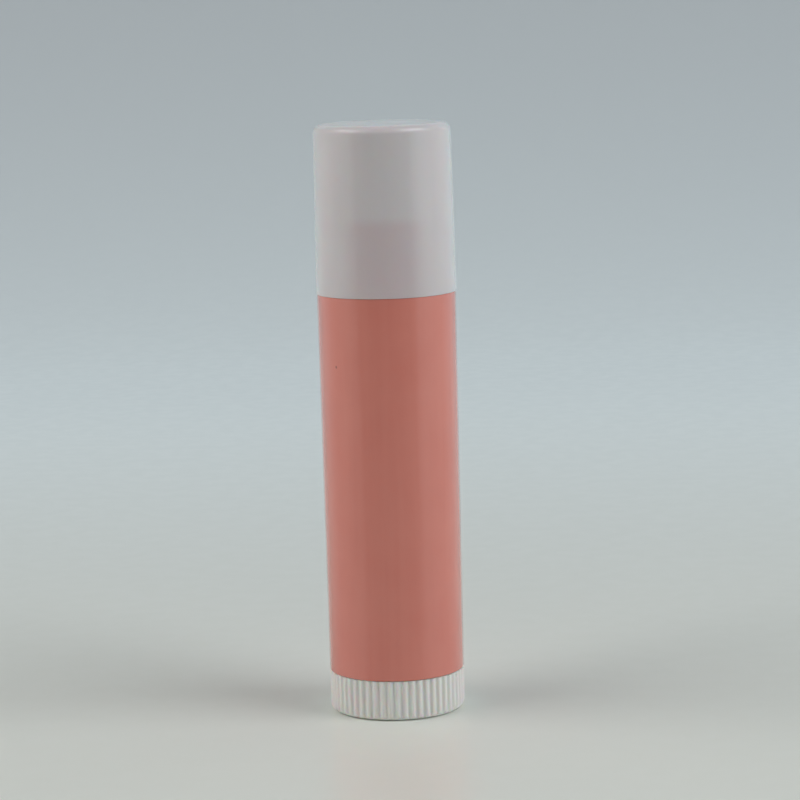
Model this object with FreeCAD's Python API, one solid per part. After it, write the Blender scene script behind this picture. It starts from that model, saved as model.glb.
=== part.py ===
import FreeCAD, Part
import math
import os

# Twist-up lip balm stick, capped and standing on its dial.
# Millimetres, +Z up the stick's axis, z = 0 where the dial stands on a table.

os.makedirs("parts", exist_ok=True)
V = FreeCAD.Vector
ORIGIN = V(0, 0, 0)
UP = V(0, 0, 1)

# Stack of the visible lengths
stick_height = 67.5
dial_height = 4.65
barrel_length = 43.65
neck_height = 8.55
dial_gap = 0.05
cap_gap = 0.03
draft_limit = 0.02

# Barrel
barrel_foot_r = 7.76
barrel_shoulder_r = 7.91
barrel_foot_bevel = 0.12
bore_r = 6.35
neck_r = 6.95
neck_rim_bevel = 0.25
neck_bead_r = 7.10
neck_bead_half = 0.5
neck_bead_above_shoulder = 1.9
guide_ribs = 4
guide_rib_width = 1.0
guide_rib_height = 0.45
guide_rib_above_bore_foot = 0.2
guide_rib_below_rim = 1.6
guide_rib_slope = 0.6

# Cap
cap_rim_r = 8.0
cap_top_r = 7.77
cap_edge_round = 1.0
cap_socket_r = 7.17
cap_inner_r = 6.95
cap_roof = 1.0
cap_stop_above_neck = 0.5
cap_mouth_bevel = 0.2
cap_mouth_height = 0.5

# Dial
dial_r = 7.76
dial_foot_bevel = 0.7
knurls = 56
knurl_depth = 0.26
knurl_root_share = 0.74
knurl_crest_share = 0.34
dial_pocket_r = 6.0
dial_pocket_depth = 3.1

# Snap joint between the barrel's foot and the dial's collar
lip_r = 6.58
lip_lead_in = 0.5
lip_height = 1.0
lip_flank = 0.12
journal_r = 6.52
snap_groove_r = 6.98
snap_r = 6.85
snap_play = 0.05
snap_flank = 0.2
snap_height = 0.55
snap_lead_in = 0.55
collar_inner_r = 5.2
collar_height = 3.5
collar_root = 0.5
collar_headroom = 0.1

# Lead screw, whose crest runs between a waist above the dial and a tapered tip
lead = 4.0
full_turns = 9
screw_base_r = 3.4
screw_base_height = 1.6
screw_root_r = 1.9
screw_crest_r = 2.6
screw_start = 7.8
screw_length = 41.2
screw_lead_in = 0.4
screw_runout = 0.2
screw_tip = 0.9
screw_tip_taper = 0.7

# Elevator cup
cup_r = 6.15
cup_wall = 1.05
cup_floor = 1.0
cup_height = 10.4
cup_lift = 0.35
hub_r = 3.8
hub_height = 7.1
hub_clearance = 0.2
fins = 4
fin_thickness = 0.8
fin_height = 5.0
web_sunk = 0.3
slide_gap = 0.15

# Balm
balm_r = 6.2
balm_edge_below_rim = 0.4
balm_crown_above_rim = 0.4
balm_bevel = 0.8
balm_bore_headroom = 0.4

# Levels and radii that follow
barrel_foot = dial_height
shoulder = barrel_foot + barrel_length
neck_rim = shoulder + neck_height
dial_top = barrel_foot - dial_gap
cap_rim = shoulder + cap_gap
lip_bottom = barrel_foot + lip_lead_in
lip_top = lip_bottom + lip_height
collar_top = barrel_foot + collar_height
bore_foot = collar_top + collar_headroom
cup_bottom = collar_top + cup_lift
cup_inside = cup_bottom + cup_floor
cup_rim = cup_bottom + cup_height
screw_end = screw_start + screw_length
screw_shank_top = screw_end + screw_runout
screw_top = screw_shank_top + screw_tip
screw_bore_r = screw_crest_r + hub_clearance
guide_rib_r = bore_r - guide_rib_height
notch_r = guide_rib_r - slide_gap
notch_width = guide_rib_width + 2 * slide_gap


def straight(start, end):
    """Straight edge of an outline, as a spline where the wall leans only by a mould's draft."""
    lean = abs(end.x - start.x)
    if 0 < lean < draft_limit * abs(end.z - start.z):
        wall = Part.BSplineCurve()
        wall.buildFromPolesMultsKnots([start, end], [2, 2], [0, 1], False, 1)
        return wall.toShape()
    return Part.makeLine(start, end)


def outline(corners):
    """Closed wire in the XZ plane through (r, z) corners, or (r, z, round) where a corner is rounded."""
    points = [V(c[0], 0, c[1]) for c in corners]
    rounds = [c[2] if len(c) > 2 else 0 for c in corners]
    count = len(points)
    starts, ends, edges = [], [], []
    for i in range(count):
        corner = points[i]
        back = (points[i - 1] - corner).normalize()
        on = (points[(i + 1) % count] - corner).normalize()
        cut = rounds[i] / math.tan(back.getAngle(on) / 2) if rounds[i] else 0
        starts.append(corner + back * cut)
        ends.append(corner + on * cut)
    for i in range(count):
        if rounds[i]:
            toward = (starts[i] + ends[i]) * 0.5 - points[i]
            reach = math.hypot(rounds[i], (starts[i] - points[i]).Length)
            middle = points[i] + toward.normalize() * (reach - rounds[i])
            edges.append(Part.Arc(starts[i], middle, ends[i]).toShape())
        edges.append(straight(ends[i], starts[(i + 1) % count]))
    return Part.Wire(edges)


def turned(corners):
    """Solid of revolution about the stick's axis."""
    return Part.Face(outline(corners)).revolve(ORIGIN, UP, 360)


def around(shape, count, first=0):
    """The same shape set round the axis at even steps."""
    copies = []
    for i in range(count):
        copy = shape.copy()
        copy.rotate(ORIGIN, UP, first + 360 * i / count)
        copies.append(copy)
    return copies


def rail(inner_r, outer_r, width, bottom, top, slope=0):
    """Upright bar standing on the +X side of the axis, with its top sloped away inward."""
    side = [(inner_r, bottom), (outer_r, bottom), (outer_r, top), (inner_r, top - slope)]
    bar = Part.Face(outline(side)).extrude(V(0, width, 0))
    bar.translate(V(0, -width / 2, 0))
    return bar


def one_solid(shape):
    """The single clean solid in a boolean's result."""
    shape = shape.removeSplitter()
    if len(shape.Solids) != 1 or not shape.isValid():
        raise ValueError("a piece has to be one valid solid")
    return shape.Solids[0]


def make_barrel():
    """Drafted tube with shoulder and beaded neck, snap lip at the foot and guide ribs down the bore."""
    bead = shoulder + neck_bead_above_shoulder
    tube = turned([
        (barrel_foot_r - barrel_foot_bevel, barrel_foot),
        (barrel_foot_r, barrel_foot + barrel_foot_bevel),
        (barrel_shoulder_r, shoulder),
        (neck_r, shoulder),
        (neck_r, bead - neck_bead_half),
        (neck_bead_r, bead),
        (neck_r, bead + neck_bead_half),
        (neck_r, neck_rim - neck_rim_bevel),
        (neck_r - neck_rim_bevel, neck_rim),
        (bore_r, neck_rim),
        (bore_r, bore_foot),
        (snap_groove_r, bore_foot),
        (snap_groove_r, lip_top + lip_flank),
        (lip_r, lip_top),
        (lip_r, lip_bottom),
        (snap_groove_r, barrel_foot),
    ])
    rib_bottom = bore_foot + guide_rib_above_bore_foot
    rib_top = neck_rim - guide_rib_below_rim
    rib = rail(guide_rib_r, bore_r + web_sunk, guide_rib_width, rib_bottom, rib_top, guide_rib_slope)
    return one_solid(tube.fuse(around(rib, guide_ribs)))


def make_cap():
    """Thin drafted cup with a rounded top edge, a stop above the neck and a chamfered mouth."""
    roof = stick_height - cap_roof
    stop = neck_rim + cap_stop_above_neck
    return one_solid(turned([
        (0, stick_height),
        (0, roof),
        (cap_inner_r, roof),
        (cap_inner_r, stop + cap_socket_r - cap_inner_r),
        (cap_socket_r, stop),
        (cap_socket_r, cap_rim + cap_mouth_height),
        (cap_socket_r + cap_mouth_bevel, cap_rim),
        (cap_rim_r, cap_rim),
        (cap_top_r, stick_height, cap_edge_round),
    ]))


def make_dial_wheel():
    """Finger wheel with straight ribs, bevelled foot and cored underside."""
    valley_r = dial_r - knurl_depth
    step = 2 * math.pi / knurls
    root_half = step * knurl_root_share / 2
    crest_half = step * knurl_crest_share / 2
    points = []
    for i in range(knurls):
        rib_at = i * step
        for r, angle in (
            (valley_r, rib_at - root_half),
            (dial_r, rib_at - crest_half),
            (dial_r, rib_at + crest_half),
            (valley_r, rib_at + root_half),
        ):
            points.append(V(r * math.cos(angle), r * math.sin(angle), 0))
    ribbed = Part.Face(Part.makePolygon(points + points[:1])).extrude(V(0, 0, dial_top))
    envelope = turned([
        (0, 0),
        (dial_r - dial_foot_bevel, 0),
        (dial_r, dial_foot_bevel),
        (dial_r, dial_top),
        (0, dial_top),
    ])
    pocket = Part.makeCylinder(dial_pocket_r, dial_pocket_depth)
    return ribbed.common(envelope).cut(pocket)


def make_screw_dial():
    """Dial wheel, snap collar and lead screw in one moulding."""
    root = dial_top - collar_root
    bead = lip_top + snap_play
    collar = turned([
        (collar_inner_r, root),
        (journal_r, root),
        (journal_r, bead),
        (snap_r, bead + snap_flank),
        (snap_r, bead + snap_flank + snap_height),
        (snap_r - snap_lead_in, collar_top),
        (collar_inner_r, collar_top),
    ])
    screw = turned([
        (0, root),
        (screw_base_r, root),
        (screw_base_r, dial_top),
        (screw_root_r, dial_top + screw_base_height),
        (screw_root_r, screw_start),
        (screw_crest_r, screw_start + screw_lead_in),
        (screw_crest_r, screw_end - screw_lead_in),
        (screw_root_r, screw_end),
        (screw_root_r, screw_shank_top),
        (screw_root_r - screw_tip_taper, screw_top),
        (0, screw_top),
    ])
    return one_solid(make_dial_wheel().fuse([collar, screw]))


def make_elevator_cup():
    """Hub that rides the screw inside a finned cup, notched for the barrel's guide ribs."""
    inner_r = cup_r - cup_wall
    hub_top = cup_bottom + hub_height
    cup = turned([
        (screw_bore_r, cup_bottom),
        (cup_r, cup_bottom),
        (cup_r, cup_rim),
        (inner_r, cup_rim),
        (inner_r, cup_inside),
        (hub_r, cup_inside),
        (hub_r, hub_top),
        (screw_bore_r, hub_top),
    ])
    fin = rail(
        hub_r - web_sunk, inner_r + web_sunk, fin_thickness, cup_inside - web_sunk, cup_inside + fin_height
    )
    notch = rail(notch_r, cup_r + web_sunk, notch_width, cup_bottom - web_sunk, cup_rim + web_sunk)
    solid = cup.fuse(around(fin, fins, 180 / fins))
    return one_solid(solid.cut(around(notch, guide_ribs)))


def make_balm_stick(elevator_cup):
    """Balm poured round the screw and into the cup, set flat at the top, grooved by the guide ribs."""
    edge = neck_rim - balm_edge_below_rim
    crown = neck_rim + balm_crown_above_rim
    bore_top = screw_top + balm_bore_headroom
    cast_r = cup_r - cup_wall / 2
    blank = turned([
        (screw_bore_r, cup_inside),
        (cast_r, cup_inside),
        (cast_r, cup_rim),
        (balm_r, cup_rim),
        (balm_r, edge),
        (balm_r - balm_bevel, crown),
        (0, crown),
        (0, bore_top),
        (screw_bore_r, bore_top),
    ])
    groove = rail(notch_r, balm_r + web_sunk, notch_width, cup_rim - web_sunk, crown + web_sunk)
    return one_solid(blank.cut([elevator_cup] + around(groove, guide_ribs)))


barrel = make_barrel()
cap = make_cap()
screw_dial = make_screw_dial()
elevator_cup = make_elevator_cup()
balm_stick = make_balm_stick(elevator_cup)

pieces = {
    "barrel": barrel,
    "cap": cap,
    "screw_dial": screw_dial,
    "elevator_cup": elevator_cup,
    "balm_stick": balm_stick,
}
for node, solid in pieces.items():
    solid.exportStep(f"parts/{node}.step")
    print(node, "volume", round(solid.Volume, 1), "mm3")
print("lift", full_turns * lead, "mm in", full_turns, "turns")
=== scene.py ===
import math

import bpy
from mathutils import Matrix, Vector


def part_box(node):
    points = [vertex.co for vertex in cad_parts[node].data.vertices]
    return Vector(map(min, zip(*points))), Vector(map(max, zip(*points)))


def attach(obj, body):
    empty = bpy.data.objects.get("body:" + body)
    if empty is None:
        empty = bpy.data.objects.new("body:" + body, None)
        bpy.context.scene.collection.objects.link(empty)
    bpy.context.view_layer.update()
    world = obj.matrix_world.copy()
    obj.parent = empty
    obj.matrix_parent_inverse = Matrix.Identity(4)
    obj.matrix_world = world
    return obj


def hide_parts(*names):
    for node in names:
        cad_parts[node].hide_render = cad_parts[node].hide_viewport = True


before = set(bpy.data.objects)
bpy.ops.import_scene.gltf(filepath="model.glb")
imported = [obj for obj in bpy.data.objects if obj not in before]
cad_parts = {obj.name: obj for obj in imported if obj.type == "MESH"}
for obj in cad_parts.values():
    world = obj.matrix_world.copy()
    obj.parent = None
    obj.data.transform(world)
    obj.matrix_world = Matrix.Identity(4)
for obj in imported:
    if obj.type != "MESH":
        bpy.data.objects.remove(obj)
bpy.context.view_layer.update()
scene = bpy.context.scene
mm = 0.001

# The barrel is the pink tube that everything else is fitted to, moulded with its neck in one piece.
# It is semi-gloss polypropylene, drafted a little wider towards the shoulder so that it leaves its mould,
# with a bead on the neck that grips the cap and four guide ribs down the bore.

barrel_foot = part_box("barrel")[0].z
neck_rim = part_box("barrel")[1].z
shoulder = barrel_foot + 43.67 * mm
barrel_foot_r = 7.76 * mm
barrel_foot_round = 0.12 * mm
shoulder_r = 7.91 * mm
shoulder_round = 0.04 * mm
neck_r = 6.95 * mm
neck_rim_round = 0.25 * mm
neck_bead = shoulder + 1.9 * mm
neck_bead_r = 7.10 * mm
neck_bead_half = 0.5 * mm
neck_bead_round = 0.6 * mm
bore_r = 6.35 * mm
bore_rim_round = 0.15 * mm
bore_foot = barrel_foot + 3.6 * mm
snap_groove_r = 6.98 * mm
lip_r = 6.58 * mm
lip_bottom = barrel_foot + 0.5 * mm
lip_top = barrel_foot + 1.5 * mm
lip_flank = 0.12 * mm
guide_ribs = 4
guide_rib_width = 1.0 * mm
guide_rib_height = 0.45 * mm
guide_rib_bottom = bore_foot + 0.2 * mm
guide_rib_top = neck_rim - 1.6 * mm
guide_rib_slope = 0.6 * mm
guide_rib_cheek = 0.1 * mm
barrel_band = 3 * mm
barrel_columns = 192


def softened(corners, steps=8):
    """Points of an (r, z) profile in which a corner's third value, if it has one, rounds it over."""
    points = []
    for i, corner in enumerate(corners):
        here = Vector(corner[:2])
        if len(corner) < 3:
            points.append(here)
            continue
        back = (Vector(corners[i - 1][:2]) - here).normalized()
        onward = (Vector(corners[(i + 1) % len(corners)][:2]) - here).normalized()
        half = back.angle(onward) / 2
        centre = here + (back + onward).normalized() * corner[2] / math.sin(half)
        arm = here + back * corner[2] / math.tan(half) - centre
        turn = -arm.angle_signed(here + onward * corner[2] / math.tan(half) - centre)
        for step in range(steps + 1):
            points.append(centre + Matrix.Rotation(turn * step / steps, 2) @ arm)
    return points


def banded(points, closed, tallest):
    """The same profile with points added, so that no band of faces is taller than that."""
    rows = []
    for i, here in enumerate(points):
        rows.append(here)
        if i + 1 < len(points) or closed:
            onward = points[(i + 1) % len(points)]
            bands = max(1, math.ceil((onward - here).length / tallest))
            rows += [here.lerp(onward, step / bands) for step in range(1, bands)]
    return rows


def turned(name, rows, columns, form=None):
    """Piece turned about Z from rows of (r, z) that run outward, up and in again.

    Rows that start on the axis end on it too, and others close on themselves. columns(r, z) is how many
    faces go round there, and form(r, z, angle) the radius where ribs, grooves or a thread change it."""
    on_axis = rows[0][0] == 0
    rings, verts, faces = [], [], []
    for r, z in rows:
        count = columns(r, z) if r > 0 else 1
        rings.append(range(len(verts), len(verts) + count))
        for column in range(count):
            angle = 2 * math.pi * column / count
            radius = form(r, z, angle) if form and r > 0 else r
            verts.append((radius * math.cos(angle), radius * math.sin(angle), z))
    for lower, upper in zip(rings, rings[1:] if on_axis else rings[1:] + rings[:1]):
        sectors = min(len(ring) for ring in (lower, upper) if len(ring) > 1)
        for sector in range(sectors):
            face = []
            for ring, way in ((lower, 1), (upper, -1)):
                share = len(ring) // sectors
                arc = [ring[(sector * share + i) % len(ring)] for i in range(share + 1)]
                face += arc[::way]
            faces.append(face)
    mesh = bpy.data.meshes.new(name)
    mesh.from_pydata(verts, [], faces)
    piece = bpy.data.objects.new(name, mesh)
    scene.collection.objects.link(piece)
    return piece


def surface(piece, material, crisp_angle=math.radians(40)):
    """The piece's material, and smooth shading that stays crisp at real edges."""
    piece.data.materials.append(material)
    piece.data.shade_smooth()
    piece.data.set_sharp_from_angle(angle=crisp_angle)
    piece.modifiers.new("even_normals", "WEIGHTED_NORMAL").keep_sharp = True


def off_guide_rib(angle, r):
    """How far round the bore an angle lies from the middle of the nearest guide rib."""
    step = 2 * math.pi / guide_ribs
    return abs((angle + step / 2) % step - step / 2) * r


def eased(value, start, end):
    """0 before start, 1 after end and a straight rise between."""
    return min(1, max(0, (value - start) / (end - start)))


def guide_ribbed(r, z, angle):
    if abs(r - bore_r) > guide_rib_cheek / 2:
        return r
    across = 1 - eased(off_guide_rib(angle, r), guide_rib_width / 2 - guide_rib_cheek, guide_rib_width / 2)
    along = eased(z, guide_rib_bottom - guide_rib_cheek, guide_rib_bottom)
    slope = 1 - eased(z, guide_rib_top - guide_rib_slope, guide_rib_top)
    return r - guide_rib_height * across * min(along, slope)


barrel_rows = banded(softened([
    (barrel_foot_r, barrel_foot, barrel_foot_round),
    (shoulder_r, shoulder, shoulder_round),
    (neck_r, shoulder, shoulder_round),
    (neck_r, neck_bead - neck_bead_half),
    (neck_bead_r, neck_bead, neck_bead_round),
    (neck_r, neck_bead + neck_bead_half),
    (neck_r, neck_rim, neck_rim_round),
    (bore_r, neck_rim, bore_rim_round),
    (bore_r, guide_rib_top),
    (bore_r, guide_rib_top - guide_rib_slope),
    (bore_r, guide_rib_bottom),
    (bore_r, guide_rib_bottom - guide_rib_cheek),
    (bore_r, bore_foot),
    (snap_groove_r, bore_foot),
    (snap_groove_r, lip_top + lip_flank),
    (lip_r, lip_top),
    (lip_r, lip_bottom),
    (snap_groove_r, barrel_foot),
]), True, barrel_band)
barrel = turned("barrel_tube", barrel_rows, lambda r, z: barrel_columns, guide_ribbed)


def node(tree, kind, inputs, **settings):
    """New node with its settings, and its inputs given values or other nodes' outputs."""
    made = tree.nodes.new(kind)
    for key, value in settings.items():
        setattr(made, key, value)
    for key, value in inputs.items():
        if isinstance(value, bpy.types.NodeSocket):
            tree.links.new(value, made.inputs[key])
        else:
            made.inputs[key].default_value = value
    return made


def ramp(tree, value, start, end, low, high):
    """Output that runs from low to high as the value runs from start to end, and stays there beyond."""
    return node(tree, "ShaderNodeMapRange", {
        "Value": value, "From Min": start, "From Max": end, "To Min": low, "To Max": high,
    }, interpolation_type="SMOOTHSTEP").outputs["Result"]


def mixed(tree, share, first, second):
    """Output that mixes two colours by a share."""
    mix = node(tree, "ShaderNodeMix", {}, data_type="RGBA", clamp_factor=True)
    named = {socket.identifier: socket for socket in mix.inputs}
    for key, value in (("Factor_Float", share), ("A_Color", first), ("B_Color", second)):
        if isinstance(value, bpy.types.NodeSocket):
            tree.links.new(value, named[key])
        else:
            named[key].default_value = value
    return next(socket for socket in mix.outputs if socket.identifier == "Result_Color")


def painted(name):
    """New material, its node tree and its Principled shader."""
    material = bpy.data.materials.new(name)
    material.use_nodes = True
    return material, material.node_tree, material.node_tree.nodes["Principled BSDF"]


# Skin of a moulded plastic: a slow drift of the colour, streaks where the melt ran along the mould,
# and the mould's fine grain.
drift_scale, streak_scale, grain_scale = 150.0, 900.0, 7000.0
drift_span, streak_span, wear_span = (0.3, 0.7), (0.35, 0.7), (0.35, 0.7)
drift_share, streak_share = 0.6, 0.4
streak_squash = (1.0, 1.0, 0.04)
grain_strength = 0.25
moulded_skin = bpy.data.node_groups.new("moulded_skin", "ShaderNodeTree")
for socket in ("Drift Scale", "Streak Scale", "Grain Scale"):
    moulded_skin.interface.new_socket(socket, in_out="INPUT", socket_type="NodeSocketFloat")
for socket in ("Drift", "Streak", "Grain"):
    moulded_skin.interface.new_socket(socket, in_out="OUTPUT", socket_type="NodeSocketFloat")
skin_scales = moulded_skin.nodes.new("NodeGroupInput").outputs
skin_out = moulded_skin.nodes.new("NodeGroupOutput")
skin_place = moulded_skin.nodes.new("ShaderNodeTexCoord").outputs["Object"]
skin_drawn = node(moulded_skin, "ShaderNodeVectorMath", {
    0: skin_place, 1: streak_squash,
}, operation="MULTIPLY").outputs["Vector"]
for effect, place in (("Drift", skin_place), ("Streak", skin_drawn), ("Grain", skin_place)):
    noise = node(moulded_skin, "ShaderNodeTexNoise", {
        "Vector": place, "Scale": skin_scales[effect + " Scale"],
    }).outputs["Fac"]
    moulded_skin.links.new(noise, skin_out.inputs[effect])


def moulded(name, colour, streaked, gloss, worn, grain_depth):
    """Plastic of a moulded piece, whose colour, gloss and grain vary over it."""
    material, tree, shader = painted(name)
    skin = node(tree, "ShaderNodeGroup", {
        "Drift Scale": drift_scale, "Streak Scale": streak_scale, "Grain Scale": grain_scale,
    }, node_tree=moulded_skin).outputs
    drift = ramp(tree, skin["Drift"], *drift_span, 0.0, drift_share)
    streak = ramp(tree, skin["Streak"], *streak_span, 0.0, streak_share)
    hue = mixed(tree, streak, mixed(tree, drift, colour, streaked), streaked)
    tree.links.new(hue, shader.inputs["Base Color"])
    tree.links.new(ramp(tree, skin["Drift"], *wear_span, gloss, worn), shader.inputs["Roughness"])
    bump = node(tree, "ShaderNodeBump", {
        "Height": skin["Grain"], "Strength": grain_strength, "Distance": grain_depth,
    }).outputs["Normal"]
    tree.links.new(bump, shader.inputs["Normal"])
    return material, tree, shader, hue


pink = (0.755, 0.218, 0.168, 1.0)
pink_streaked = (0.785, 0.248, 0.193, 1.0)
pink_gloss, pink_worn = 0.2, 0.25
pink_grain = 0.003 * mm
pink_coat, pink_coat_roughness = 0.9, 0.14
pink_plastic, pink_tree, pink_shader, pink_hue = moulded(
    "pink_plastic", pink, pink_streaked, pink_gloss, pink_worn, pink_grain)
pink_shader.inputs["Coat Weight"].default_value = pink_coat
pink_shader.inputs["Coat Roughness"].default_value = pink_coat_roughness

# a fleck of dirt sits on the barrel's left front
fleck_at = (-5.86 * mm, -5.27 * mm, 40.5 * mm)
fleck_r = 0.28 * mm
fleck_inner, fleck_outer = 0.7 * fleck_r, 1.2 * fleck_r
fleck_share = 0.8
fleck_raggedness = 4000.0
fleck_colour = (0.16, 0.07, 0.06, 1.0)
fleck_place = pink_tree.nodes.new("ShaderNodeTexCoord").outputs["Object"]
fleck_ragged = node(pink_tree, "ShaderNodeTexNoise", {
    "Vector": fleck_place, "Scale": fleck_raggedness,
}).outputs["Fac"]
fleck_off = node(pink_tree, "ShaderNodeVectorMath", {
    0: fleck_place, 1: fleck_at,
}, operation="DISTANCE").outputs["Value"]
fleck_edge = node(pink_tree, "ShaderNodeMath", {
    0: fleck_ragged, 1: fleck_r, 2: fleck_off,
}, operation="MULTIPLY_ADD").outputs["Value"]
fleck = ramp(pink_tree, fleck_edge, fleck_inner, fleck_outer, fleck_share, 0.0)
pink_tree.links.new(mixed(pink_tree, fleck, pink_hue, fleck_colour), pink_shader.inputs["Base Color"])

surface(barrel, pink_plastic)
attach(barrel, "barrel")
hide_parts("barrel")

# The dial is the white finger wheel at the foot, moulded in one with its snap collar and the lead screw.
# It is matt white polypropylene with straight grip ribs, a rounded foot and a cored-out underside.
# The collar snaps behind the barrel's lip, so the wheel turns on the spot and the screw lifts the balm.

dial_gap = 0.05 * mm
dial_top = barrel_foot - dial_gap
dial_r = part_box("screw_dial")[1].x
dial_foot_round = 0.7 * mm
dial_top_round = 0.08 * mm
knurls = 56
knurl_depth = 0.2 * mm
knurl_crest_share = 0.15
knurl_root_share = 0.95
knurl_columns = 12
dial_pocket_r = 6.0 * mm
dial_pocket_depth = 3.1 * mm
dial_pocket_round = 0.3 * mm
journal_r = 6.52 * mm
snap_bottom = lip_top + dial_gap
snap_slope = 0.2 * mm
snap_height = 0.75 * mm
snap_r = 6.85 * mm
snap_round = 0.12 * mm
collar_inner_r = 5.2 * mm
collar_top = barrel_foot + 3.5 * mm
collar_lead_in = 0.55 * mm
screw_base_r = 3.4 * mm
screw_base_height = 1.6 * mm
screw_root_r = 1.9 * mm
screw_crest_r = 2.6 * mm
screw_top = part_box("screw_dial")[1].z
screw_tip = 0.9 * mm
screw_tip_taper = 0.7 * mm
screw_tip_round = 0.3 * mm
lead = 4.0 * mm
thread_start = 8.8 * mm
thread_end = 48.0 * mm
thread_root_half = 1.0 * mm
thread_bottom = thread_start - thread_root_half
thread_top = thread_end + thread_root_half
thread_crest_half = 0.65 * mm
thread_fade = 0.8 * mm
thread_band = 0.25 * mm
dial_band = 1.5 * mm
dial_fine_r = collar_inner_r - 1.0 * mm


def smooth(share):
    return share * share * (3 - 2 * share)


def knurled(r, z, angle):
    """Grip ribs round the wheel and the left-handed thread on the screw."""
    valley_r = dial_r - knurl_depth
    if z <= dial_top and r > valley_r:
        step = math.pi / knurls
        off_rib = abs((angle + step) % (2 * step) - step) / step
        rib = 1 - smooth(eased(off_rib, knurl_crest_share, knurl_root_share))
        return min(r, valley_r + knurl_depth * rib)
    if thread_bottom < z < thread_top and r < screw_base_r:
        turns = (z - thread_start) / lead + angle / (2 * math.pi)
        off_ridge = abs(turns - round(turns)) * lead
        ridge = 1 - eased(off_ridge, thread_crest_half, thread_root_half)
        fade = min(eased(z, thread_bottom, thread_bottom + thread_fade),
                   1 - eased(z, thread_top - thread_fade, thread_top))
        return r + (screw_crest_r - r) * ridge * fade
    return r


dial_rows = banded(softened([
    (0, dial_pocket_depth),
    (dial_pocket_r, dial_pocket_depth, dial_pocket_round),
    (dial_pocket_r, 0, dial_top_round),
    (dial_r, 0, dial_foot_round),
    (dial_r, dial_top, dial_top_round),
    (journal_r, dial_top),
    (journal_r, snap_bottom),
    (snap_r, snap_bottom + snap_slope, snap_round),
    (snap_r, snap_bottom + snap_height, snap_round),
    (snap_r - collar_lead_in, collar_top, snap_round),
    (collar_inner_r, collar_top, snap_round),
    (collar_inner_r, dial_top, dial_pocket_round),
    (screw_base_r, dial_top),
    (screw_root_r, dial_top + screw_base_height),
    (screw_root_r, thread_bottom),
]), False, dial_band)
dial_rows += banded([Vector(point) for point in (
    (screw_root_r, thread_bottom),
    (screw_root_r, thread_top),
)], False, thread_band)[1:]
dial_rows += softened([
    (screw_root_r, screw_top - screw_tip),
    (screw_root_r - screw_tip_taper, screw_top, screw_tip_round),
    (0, screw_top),
])
dial = turned(
    "finger_dial", dial_rows,
    lambda r, z: knurls if r < dial_fine_r else knurls * knurl_columns, knurled,
)

dial_white = (0.90, 0.89, 0.865, 1.0)
dial_streaked = (0.88, 0.87, 0.845, 1.0)
# duller white for the rib valleys: dust, and painted shade where the ribs shade them
dial_dust_and_shade = (0.80, 0.80, 0.77, 1.0)
dial_dust_and_shade_share = 0.35
dial_gloss, dial_worn = 0.42, 0.5
dial_grain = 0.006 * mm
dial_milkiness, dial_milk_depth = 0.4, 0.5 * mm
dial_plastic, dial_tree, dial_shader, dial_hue = moulded(
    "white_dial_plastic", dial_white, dial_streaked, dial_gloss, dial_worn, dial_grain)
dial_shader.inputs["Subsurface Weight"].default_value = dial_milkiness
dial_shader.inputs["Subsurface Scale"].default_value = dial_milk_depth

# dust and painted shade darken the valleys between the ribs
dial_place = dial_tree.nodes.new("ShaderNodeTexCoord").outputs["Object"]
dial_x, dial_y = node(dial_tree, "ShaderNodeSeparateXYZ", {0: dial_place}).outputs[:2]
dial_off_axis = node(dial_tree, "ShaderNodeVectorMath", {
    0: node(dial_tree, "ShaderNodeCombineXYZ", {0: dial_x, 1: dial_y}).outputs["Vector"],
}, operation="LENGTH").outputs["Value"]
dial_valley_dust_and_shade = ramp(dial_tree, dial_off_axis, dial_r - knurl_depth, dial_r, dial_dust_and_shade_share, 0.0)
dial_tree.links.new(mixed(dial_tree, dial_valley_dust_and_shade, dial_hue, dial_dust_and_shade), dial_shader.inputs["Base Color"])

surface(dial, dial_plastic)
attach(dial, "dial")
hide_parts("screw_dial")

# The elevator cup is the nut that climbs the screw with the balm, notched to slide on the guide ribs.
# It is left in natural, unpigmented polypropylene, milky and matt, because it is never seen in use.

natural = (0.74, 0.745, 0.72, 1.0)
natural_streaked = (0.68, 0.69, 0.665, 1.0)
natural_gloss, natural_worn = 0.45, 0.55
natural_grain = 0.006 * mm
natural_milkiness, natural_milk_depth = 0.3, 0.8 * mm
natural_plastic, _, natural_shader, _ = moulded(
    "natural_plastic", natural, natural_streaked, natural_gloss, natural_worn, natural_grain)
natural_shader.inputs["Subsurface Weight"].default_value = natural_milkiness
natural_shader.inputs["Subsurface Scale"].default_value = natural_milk_depth
elevator_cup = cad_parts["elevator_cup"]
elevator_cup.data.materials.clear()
elevator_cup.data.materials.append(natural_plastic)

# The balm is the off-white stick of wax, poured hot into the barrel through its open neck and set there.
# The bore is its mould, so the guide ribs leave four grooves in it, and its top shrinks to a shallow dish.

cup_rim = 18.9 * mm
cup_fin_top = 14.5 * mm
cup_hub_top = 15.6 * mm
cup_hub_r = 3.8 * mm
cup_inner_r = 5.1 * mm
balm_r = 6.2 * mm
balm_edge_round = 0.8 * mm
balm_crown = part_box("balm_stick")[1].z
balm_dish_depth = 0.3 * mm
balm_dish_r = 4.6 * mm
balm_dish_round = 8 * mm
balm_groove_depth = 0.45 * mm
balm_groove_half = guide_rib_width / 2 + 0.15 * mm
balm_groove_cheek = 0.15 * mm
balm_bore_r = 2.8 * mm
balm_bore_top = screw_top + 0.4 * mm
balm_shrink = 0.02 * mm
balm_band = 2 * mm
balm_columns = 160


def balm_grooved(r, z, angle):
    off_groove = off_guide_rib(angle, balm_r)
    in_groove = 1 - eased(off_groove, balm_groove_half, balm_groove_half + balm_groove_cheek)
    return min(r, balm_r - balm_groove_depth * in_groove) if z >= cup_rim else r


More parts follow.
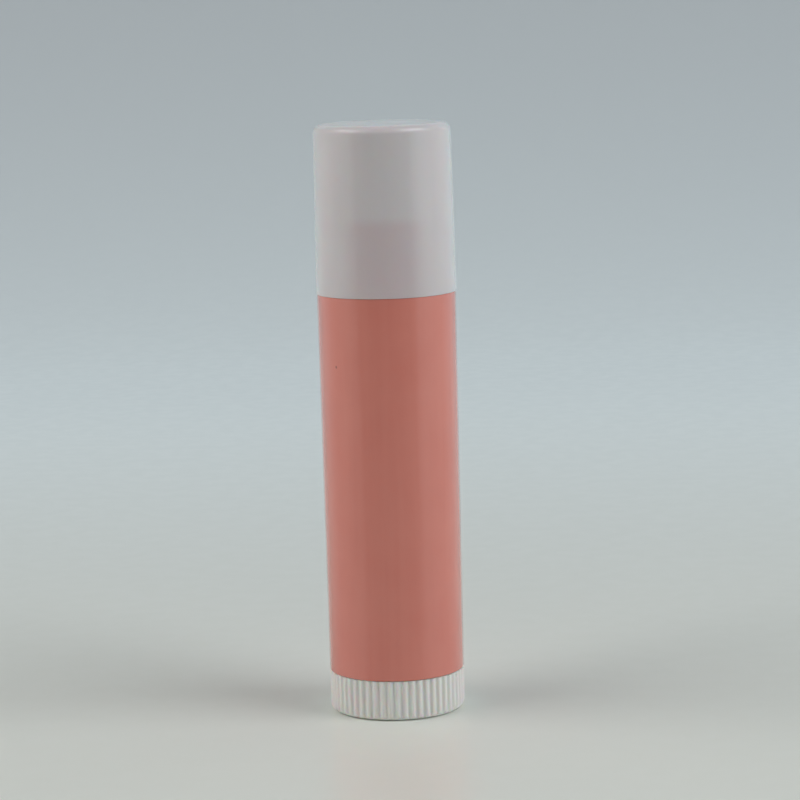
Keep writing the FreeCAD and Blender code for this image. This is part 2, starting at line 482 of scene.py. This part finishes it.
balm_rows = banded(softened([
    (0, balm_bore_top),
    (balm_bore_r, balm_bore_top),
    (balm_bore_r, cup_hub_top + balm_shrink),
    (cup_hub_r + balm_shrink, cup_hub_top + balm_shrink),
    (cup_hub_r + balm_shrink, cup_fin_top + balm_shrink),
    (cup_inner_r - balm_shrink, cup_fin_top + balm_shrink),
    (cup_inner_r - balm_shrink, cup_rim + balm_shrink),
    (balm_r, cup_rim + balm_shrink),
    (balm_r, balm_crown, balm_edge_round),
    (balm_dish_r, balm_crown, balm_dish_round),
    (balm_dish_r / 2, balm_crown - balm_dish_depth, balm_dish_round),
    (0, balm_crown - balm_dish_depth),
]), False, balm_band)
balm = turned("balm_wax", balm_rows, lambda r, z: balm_columns, balm_grooved)

wax = (0.83, 0.76, 0.62, 1.0)
wax_bloom = (0.87, 0.82, 0.71, 1.0)
wax_bloom_span = (0.4, 0.7)
wax_cloud_scale, wax_cloud_detail = 260.0, 4.0
wax_gloss, wax_dull = 0.32, 0.5
wax_dull_span = (0.35, 0.65)
wax_ripple_scale, wax_ripple_detail = 1100.0, 2.0
wax_ripple_strength, wax_ripple_depth = 0.3, 0.05 * mm
wax_milkiness, wax_milk_depth = 0.5, 1.5 * mm
wax_material, wax_tree, wax_shader = painted("balm_wax")
wax_place = wax_tree.nodes.new("ShaderNodeTexCoord").outputs["Object"]
wax_cloud = node(wax_tree, "ShaderNodeTexNoise", {
    "Vector": wax_place, "Scale": wax_cloud_scale, "Detail": wax_cloud_detail,
}).outputs["Fac"]
wax_ripple = node(wax_tree, "ShaderNodeTexNoise", {
    "Vector": wax_place, "Scale": wax_ripple_scale, "Detail": wax_ripple_detail,
}).outputs["Fac"]
wax_hue = mixed(wax_tree, ramp(wax_tree, wax_cloud, *wax_bloom_span, 0.0, 1.0), wax, wax_bloom)
wax_tree.links.new(wax_hue, wax_shader.inputs["Base Color"])
wax_roughness = ramp(wax_tree, wax_cloud, *wax_dull_span, wax_gloss, wax_dull)
wax_tree.links.new(wax_roughness, wax_shader.inputs["Roughness"])
wax_bump = node(wax_tree, "ShaderNodeBump", {
    "Height": wax_ripple, "Strength": wax_ripple_strength, "Distance": wax_ripple_depth,
}).outputs["Normal"]
wax_tree.links.new(wax_bump, wax_shader.inputs["Normal"])
wax_shader.inputs["Subsurface Weight"].default_value = wax_milkiness
wax_shader.inputs["Subsurface Scale"].default_value = wax_milk_depth

surface(balm, wax_material)
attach(balm, "carriage")
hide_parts("balm_stick")

# The cap is a thin white cup pushed over the neck, where the bead holds it by friction alone.
# It is semi-gloss white polypropylene, drafted narrower to the top, with a rounded top edge and a flat end.
# Its wall is thin enough for the pink neck inside to show through, and that pink is painted into the colour
# of its lower half.

cap_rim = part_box("cap")[0].z
cap_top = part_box("cap")[1].z
cap_rim_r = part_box("cap")[1].x
cap_rim_round = 0.07 * mm
cap_top_r = 7.77 * mm
cap_edge_round = 1.0 * mm
cap_socket_r = 7.17 * mm
cap_inner_r = 6.95 * mm
cap_inner_round = 0.5 * mm
cap_roof = cap_top - 1.0 * mm
cap_stop = neck_rim + 0.5 * mm
cap_mouth_bevel = 0.2 * mm
cap_mouth_height = 0.5 * mm
cap_mouth_round = 0.1 * mm
cap_band = 2 * mm
cap_columns = 192

cap_rows = banded(softened([
    (0, cap_roof),
    (cap_inner_r, cap_roof, cap_inner_round),
    (cap_inner_r, cap_stop + cap_socket_r - cap_inner_r),
    (cap_socket_r, cap_stop),
    (cap_socket_r, cap_rim + cap_mouth_height),
    (cap_socket_r + cap_mouth_bevel, cap_rim, cap_mouth_round),
    (cap_rim_r, cap_rim, cap_rim_round),
    (cap_top_r, cap_top, cap_edge_round),
    (0, cap_top),
]), False, cap_band)
cap = turned("pull_cap", cap_rows, lambda r, z: cap_columns)

cap_white = (0.70, 0.655, 0.675, 1.0)
cap_streaked = (0.725, 0.68, 0.70, 1.0)
# painted light: the pink of the neck as seen through the cap's wall
cap_painted_neck_tint = (0.68, 0.58, 0.605, 1.0)
# painted highlight: the whiter colour of the wall where it is seen edge on
cap_painted_edge_highlight = (0.76, 0.78, 0.80, 1.0)
cap_painted_tint_fade = 0.8 * mm
cap_gloss, cap_worn = 0.15, 0.19
cap_grain = 0.002 * mm
cap_milkiness, cap_milk_depth = 0.2, 0.6 * mm
cap_plastic, cap_tree, cap_shader, cap_hue = moulded(
    "white_cap_plastic", cap_white, cap_streaked, cap_gloss, cap_worn, cap_grain)
cap_shader.inputs["Subsurface Weight"].default_value = cap_milkiness
cap_shader.inputs["Subsurface Scale"].default_value = cap_milk_depth

# painted light: the pink of the neck seen through the wall is painted in where the wall is seen square on,
# and a painted highlight whitens the wall seen edge on, where it looks thicker
cap_slant_blend = 0.5
cap_painted_tint_square_span, cap_painted_tint_slant_share = (0.0, 0.25), 0.1
cap_painted_edge_highlight_span = (0.45, 0.85)
cap_place = cap_tree.nodes.new("ShaderNodeTexCoord").outputs["Object"]
cap_height = node(cap_tree, "ShaderNodeSeparateXYZ", {0: cap_place}).outputs["Z"]
cap_painted_tint_height = ramp(cap_tree, cap_height, neck_rim - cap_painted_tint_fade, neck_rim + cap_painted_tint_fade, 1.0, 0.0)
cap_slant = node(cap_tree, "ShaderNodeLayerWeight", {"Blend": cap_slant_blend}).outputs["Facing"]
cap_painted_tint_share = node(cap_tree, "ShaderNodeMath", {
    0: cap_painted_tint_height, 1: ramp(cap_tree, cap_slant, *cap_painted_tint_square_span, 1.0, cap_painted_tint_slant_share),
}, operation="MULTIPLY").outputs["Value"]
cap_painted_tint_hue = mixed(cap_tree, cap_painted_tint_share, cap_hue, cap_painted_neck_tint)
# a painted highlight whitens the wall where it is seen edge on
cap_painted_edge_highlight_share = ramp(cap_tree, cap_slant, *cap_painted_edge_highlight_span, 0.0, 1.0)
cap_tree.links.new(mixed(cap_tree, cap_painted_edge_highlight_share, cap_painted_tint_hue, cap_painted_edge_highlight), cap_shader.inputs["Base Color"])

surface(cap, cap_plastic)
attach(cap, "cap")
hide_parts("cap")

# The stick stands on a pale, slightly glossy sheet that curves up behind it into the backdrop.

sheet_half_width = 1.6
sheet_front = -1.4
sheet_bend = 0.3
sheet_bend_r = 0.35
sheet_height = 1.7
sheet_steps = 24
sheet_flat_rows = (sheet_front, -0.3, 0.0, 0.2)
sheet_line = [(y, 0.0) for y in sheet_flat_rows]
for step in range(sheet_steps + 1):
    rise = math.pi / 2 * step / sheet_steps
    sheet_line.append((sheet_bend + sheet_bend_r * math.sin(rise), sheet_bend_r * (1 - math.cos(rise))))
sheet_line.append((sheet_bend + sheet_bend_r, sheet_height))
sheet_verts = []
for y, z in sheet_line:
    sheet_verts += [(-sheet_half_width, y, z), (sheet_half_width, y, z)]
sheet_faces = [(2 * i, 2 * i + 1, 2 * i + 3, 2 * i + 2) for i in range(len(sheet_line) - 1)]
sheet_mesh = bpy.data.meshes.new("backdrop_sheet")
sheet_mesh.from_pydata(sheet_verts, [], sheet_faces)
sheet_mesh.shade_smooth()
sheet = bpy.data.objects.new("backdrop_sheet", sheet_mesh)
scene.collection.objects.link(sheet)

# painted shade darkens and cools the white with depth, and a weak painted glow lifts it behind the stick
sheet_near = (0.81, 0.83, 0.77, 1.0)
# painted shade: the darker, cooler colour of the sheet far back
sheet_far_shaded = (0.595, 0.64, 0.67, 1.0)
sheet_shading_span = (-0.05, 0.3)
# painted glow: emission on the sheet, which is no lamp
sheet_glow = (0.125, 0.15, 0.15, 1.0)
sheet_glow_rise, sheet_glow_fall = (0.0, 0.24), (0.28, 0.6)
sheet_unlit = (0.0, 0.0, 0.0, 1.0)
sheet_material, sheet_tree, sheet_shader = painted("backdrop_sheet")
sheet_place = sheet_tree.nodes.new("ShaderNodeTexCoord").outputs["Object"]
sheet_x, sheet_y = node(sheet_tree, "ShaderNodeSeparateXYZ", {0: sheet_place}).outputs[:2]
sheet_shaded_hue = mixed(sheet_tree, ramp(sheet_tree, sheet_y, *sheet_shading_span, 0.0, 1.0), sheet_near, sheet_far_shaded)
sheet_glow_share = node(sheet_tree, "ShaderNodeMath", {
    0: ramp(sheet_tree, sheet_y, *sheet_glow_rise, 0.0, 1.0),
    1: ramp(sheet_tree, sheet_y, *sheet_glow_fall, 1.0, 0.0),
}, operation="MULTIPLY").outputs["Value"]
sheet_lit = mixed(sheet_tree, sheet_glow_share, sheet_unlit, sheet_glow)

# out where the screens stand, the camera sees a plain pale fill and not the foot of a light
sheet_fill = (0.40, 0.44, 0.44, 1.0)
sheet_fill_span = (0.4, 0.64)
sheet_sideways = node(sheet_tree, "ShaderNodeMath", {0: sheet_x}, operation="ABSOLUTE").outputs["Value"]
sheet_forward = node(sheet_tree, "ShaderNodeMath", {
    0: sheet_y, 1: -1.0,
}, operation="MULTIPLY").outputs["Value"]
sheet_out = node(sheet_tree, "ShaderNodeMath", {
    0: sheet_sideways, 1: sheet_forward,
}, operation="MAXIMUM").outputs["Value"]
sheet_fill_share = node(sheet_tree, "ShaderNodeMath", {
    0: ramp(sheet_tree, sheet_out, *sheet_fill_span, 0.0, 1.0),
    1: sheet_tree.nodes.new("ShaderNodeLightPath").outputs["Is Camera Ray"],
}, operation="MULTIPLY").outputs["Value"]
sheet_shaded_hue = mixed(sheet_tree, sheet_fill_share, sheet_shaded_hue, sheet_unlit)
sheet_tree.links.new(sheet_shaded_hue, sheet_shader.inputs["Base Color"])
sheet_lit = mixed(sheet_tree, sheet_fill_share, sheet_lit, sheet_fill)
sheet_tree.links.new(sheet_lit, sheet_shader.inputs["Emission Color"])
sheet_shader.inputs["Emission Strength"].default_value = 1.0

sheet_gloss, sheet_worn = 0.28, 0.36
sheet_grain_scale, sheet_grain_span = 300.0, (0.3, 0.7)
sheet_grain = node(sheet_tree, "ShaderNodeTexNoise", {
    "Vector": sheet_place, "Scale": sheet_grain_scale,
}).outputs["Fac"]
sheet_roughness = node(sheet_tree, "ShaderNodeMath", {
    0: ramp(sheet_tree, sheet_grain, *sheet_grain_span, sheet_gloss, sheet_worn), 1: sheet_fill_share,
}, operation="MAXIMUM").outputs["Value"]
sheet_tree.links.new(sheet_roughness, sheet_shader.inputs["Roughness"])
sheet_mesh.materials.append(sheet_material)

# Studio light: a raised soft box at each side, pale screens standing along the sides
# and a light of its own for the backdrop.


def around(azimuth, distance, height):
    """Point round the stick, its azimuth counted from the camera's side towards +X."""
    turn = math.radians(azimuth)
    return Vector((distance * math.sin(turn), -distance * math.cos(turn), height))


def soft_light(name, place, aim, width, height, radiance, colour):
    """Rectangular light of even brightness that faces a point."""
    light = bpy.data.lights.new(name, "AREA")
    light.shape = "RECTANGLE"
    light.size = width
    light.size_y = height
    light.energy = radiance * math.pi * width * height
    light.color = colour
    lamp = bpy.data.objects.new(name, light)
    facing = (aim - place).to_track_quat("-Z", "Y")
    lamp.matrix_world = Matrix.Translation(place) @ facing.to_matrix().to_4x4()
    lamp.visible_camera = False
    scene.collection.objects.link(lamp)


warm = (1.0, 0.99, 0.97)
cool = (0.95, 0.985, 1.0)
box_aim = Vector((0, 0, 0.03))
box_distance = 0.40
box_raise = 0.476
box_height = 0.266
for name, azimuth, width, radiance, colour in (
    ("left_box", -75, 0.47, 3.0, warm),
    ("right_box", 64, 0.38, 3.95, cool),
):
    place = around(azimuth, box_distance, box_raise)
    soft_light(name, place, box_aim, width, box_height, radiance, colour)
screen_distance = 0.8
screen_height = 0.96
screen_aim = Vector((0, 0, screen_height / 2))
for name, azimuth, span, radiance, colour in (
    ("left_screen", -70, 40, 0.82, warm),
    ("left_rear_screen", -110, 40, 0.62, warm),
    ("right_screen", 70, 40, 1.15, cool),
    ("right_rear_screen", 120, 60, 0.66, cool),
):
    width = 2 * screen_distance * math.tan(math.radians(span / 2))
    place = around(azimuth, screen_distance, screen_aim.z)
    soft_light(name, place, screen_aim, width, screen_height, radiance, colour)
backdrop_light_place = Vector((0, 0.25, 0.55))
backdrop_light_aim = Vector((0, 0.65, 0.4))
backdrop_light_width, backdrop_light_height = 1.2, 0.2
backdrop_light_radiance = 0.8
soft_light("backdrop_light", backdrop_light_place, backdrop_light_aim,
           backdrop_light_width, backdrop_light_height, backdrop_light_radiance, cool)

# the room beyond the sheet gives no light, and only the camera sees its pale grey
room_grey = (0.40, 0.44, 0.45, 1.0)
room = bpy.data.worlds.new("room")
room.use_nodes = True
room_air = room.node_tree.nodes["Background"]
room_air.inputs["Color"].default_value = room_grey
room_seen = room.node_tree.nodes.new("ShaderNodeLightPath").outputs["Is Camera Ray"]
room.node_tree.links.new(room_seen, room_air.inputs["Strength"])
scene.world = room
scene.view_settings.view_transform = "Standard"

# The camera stands a little above the cap, looks slightly down and leans a touch to one side.

camera_place = Vector((0.00121, -0.3271, 0.0838))
camera_pitch = 8.35
camera_roll = -1.62
camera_lens = 129.9
camera_sensor = 36.0
camera_data = bpy.data.cameras.new("camera")
camera_data.lens = camera_lens
camera_data.sensor_width = camera_sensor
camera = bpy.data.objects.new("camera", camera_data)
camera.matrix_world = (
    Matrix.Translation(camera_place)
    @ Matrix.Rotation(math.radians(90 - camera_pitch), 4, "X")
    @ Matrix.Rotation(math.radians(camera_roll), 4, "Z"))
scene.collection.objects.link(camera)
scene.camera = camera
